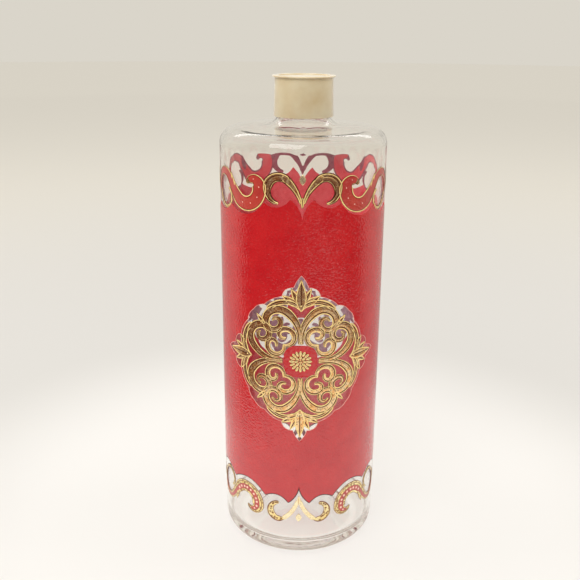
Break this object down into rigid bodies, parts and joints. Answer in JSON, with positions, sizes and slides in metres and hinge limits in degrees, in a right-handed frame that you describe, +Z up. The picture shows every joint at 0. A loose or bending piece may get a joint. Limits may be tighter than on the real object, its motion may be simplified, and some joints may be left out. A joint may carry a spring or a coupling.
{
  "type": "decorative glass jar",
  "caption": "Tall cylindrical clear glass jar with a narrow threaded neck, a screw cap with liner, and an enamelled field with gilded scroll medallions and borders.",
  "frame": {"origin": "centre of the foot, on the surface that the jar stands on", "axes": "+Z up along the axis of the jar, -Y towards the front medallion, +X to its right as seen from the front"},
  "size_m": [0.0888, 0.0898, 0.2602],
  "materials": {
    "clear_glass": "clear soda-lime glass, moulded and fire polished, faintly pebbled",
    "red_enamel": "red enamel fired on the glass, glossy, finely pebbled",
    "gilt": "gold print on the glass, half glossy, with darker drawn lines",
    "pale_gilt": "thin pale gold print on the glass",
    "cream_plastic": "aged cream plastic, moulded, half glossy",
    "liner_board": "pressed board, matt"
  },
  "bodies": {
    "bottle": {"glass_bottle": "clear_glass", "red_enamel_field": "red_enamel", "medallion_filigree_front": "gilt", "medallion_disc_front": "red_enamel", "medallion_rosette_front": "gilt", "medallion_filigree_back": "gilt", "medallion_disc_back": "red_enamel", "medallion_rosette_back": "gilt", "lower_crescent_front_left": "gilt", "lower_scroll_front_left": "gilt", "lower_crescent_front_right": "gilt", "lower_scroll_front_right": "gilt", "lower_spire_front": "pale_gilt", "lower_diamond_front": "pale_gilt", "upper_crescent_front_left": "gilt", "upper_scroll_front_left": "gilt", "upper_crescent_front_right": "gilt", "upper_scroll_front_right": "gilt", "upper_spire_front": "pale_gilt", "upper_diamond_front": "pale_gilt", "lower_crescent_back_left": "gilt", "lower_scroll_back_left": "gilt", "lower_crescent_back_right": "gilt", "lower_scroll_back_right": "gilt", "lower_spire_back": "pale_gilt", "lower_diamond_back": "pale_gilt", "upper_crescent_back_left": "gilt", "upper_scroll_back_left": "gilt", "upper_crescent_back_right": "gilt", "upper_scroll_back_right": "gilt", "upper_spire_back": "pale_gilt", "upper_diamond_back": "pale_gilt", "lower_palmette_right": "gilt", "upper_palmette_right": "gilt", "lower_palmette_left": "gilt", "upper_palmette_left": "gilt"},
    "liner": {"cap_liner": "liner_board"},
    "cap": {"screw_cap": "cream_plastic"}
  },
  "joints": [
    {"name": "cap_rise", "type": "slide", "parent": "bottle", "child": "liner", "axis": [0, 0, 1], "range_m": [0, 0.02]},
    {"name": "cap_turn", "type": "hinge", "parent": "liner", "child": "cap", "pos_m": [0, 0, 0.25], "axis": [0, 0, 1], "range_deg": [0, 1700]}
  ],
  "couplings": [
    {"joint": "cap_rise", "follows": "cap_turn", "m_per_rad": 0.0006737}
  ]
}
